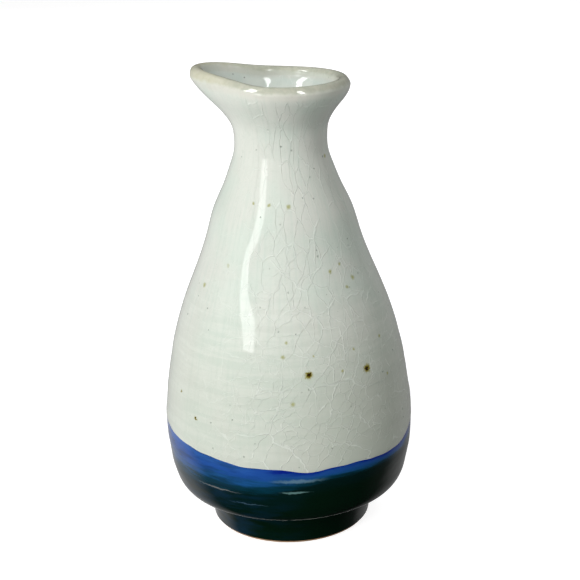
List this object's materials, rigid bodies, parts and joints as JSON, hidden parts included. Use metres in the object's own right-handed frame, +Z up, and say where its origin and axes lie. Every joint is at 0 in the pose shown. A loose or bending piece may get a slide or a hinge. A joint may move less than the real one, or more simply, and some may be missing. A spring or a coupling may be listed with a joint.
{
  "type": "sake bottle",
  "caption": "Glazed stoneware sake bottle with a pear-shaped belly, narrow neck, flared lip pulled into a pouring spout, and a foot ring.",
  "frame": {"origin": "on the bottle's axis, in the plane that the foot ring stands on", "axes": "+Z up along the axis, -X towards the pouring spout, -Y towards the front"},
  "size_m": [0.07, 0.07, 0.13],
  "materials": {
    "stoneware_clay": "fired stoneware, hidden under the glaze",
    "foot_clay": "bare toasted stoneware with a fine sandy surface",
    "dark_glaze": "deep green-black glossy glaze",
    "cobalt_glaze": "cobalt blue glossy glaze that runs into the dark one",
    "crackle_glaze": "pale grey-green crackled glossy glaze with iron spots",
    "rim_wash": "thin olive-brown iron wash under gloss",
    "liner_glaze": "pale blue-grey glossy glaze"
  },
  "bodies": {
    "root": {"clay_body": "stoneware_clay", "foot_ring": "foot_clay", "dark_glaze": "dark_glaze", "cobalt_band": "cobalt_glaze", "crackle_glaze": "crackle_glaze", "rim_wash": "rim_wash", "liner_glaze": "liner_glaze"}
  },
  "joints": []
}
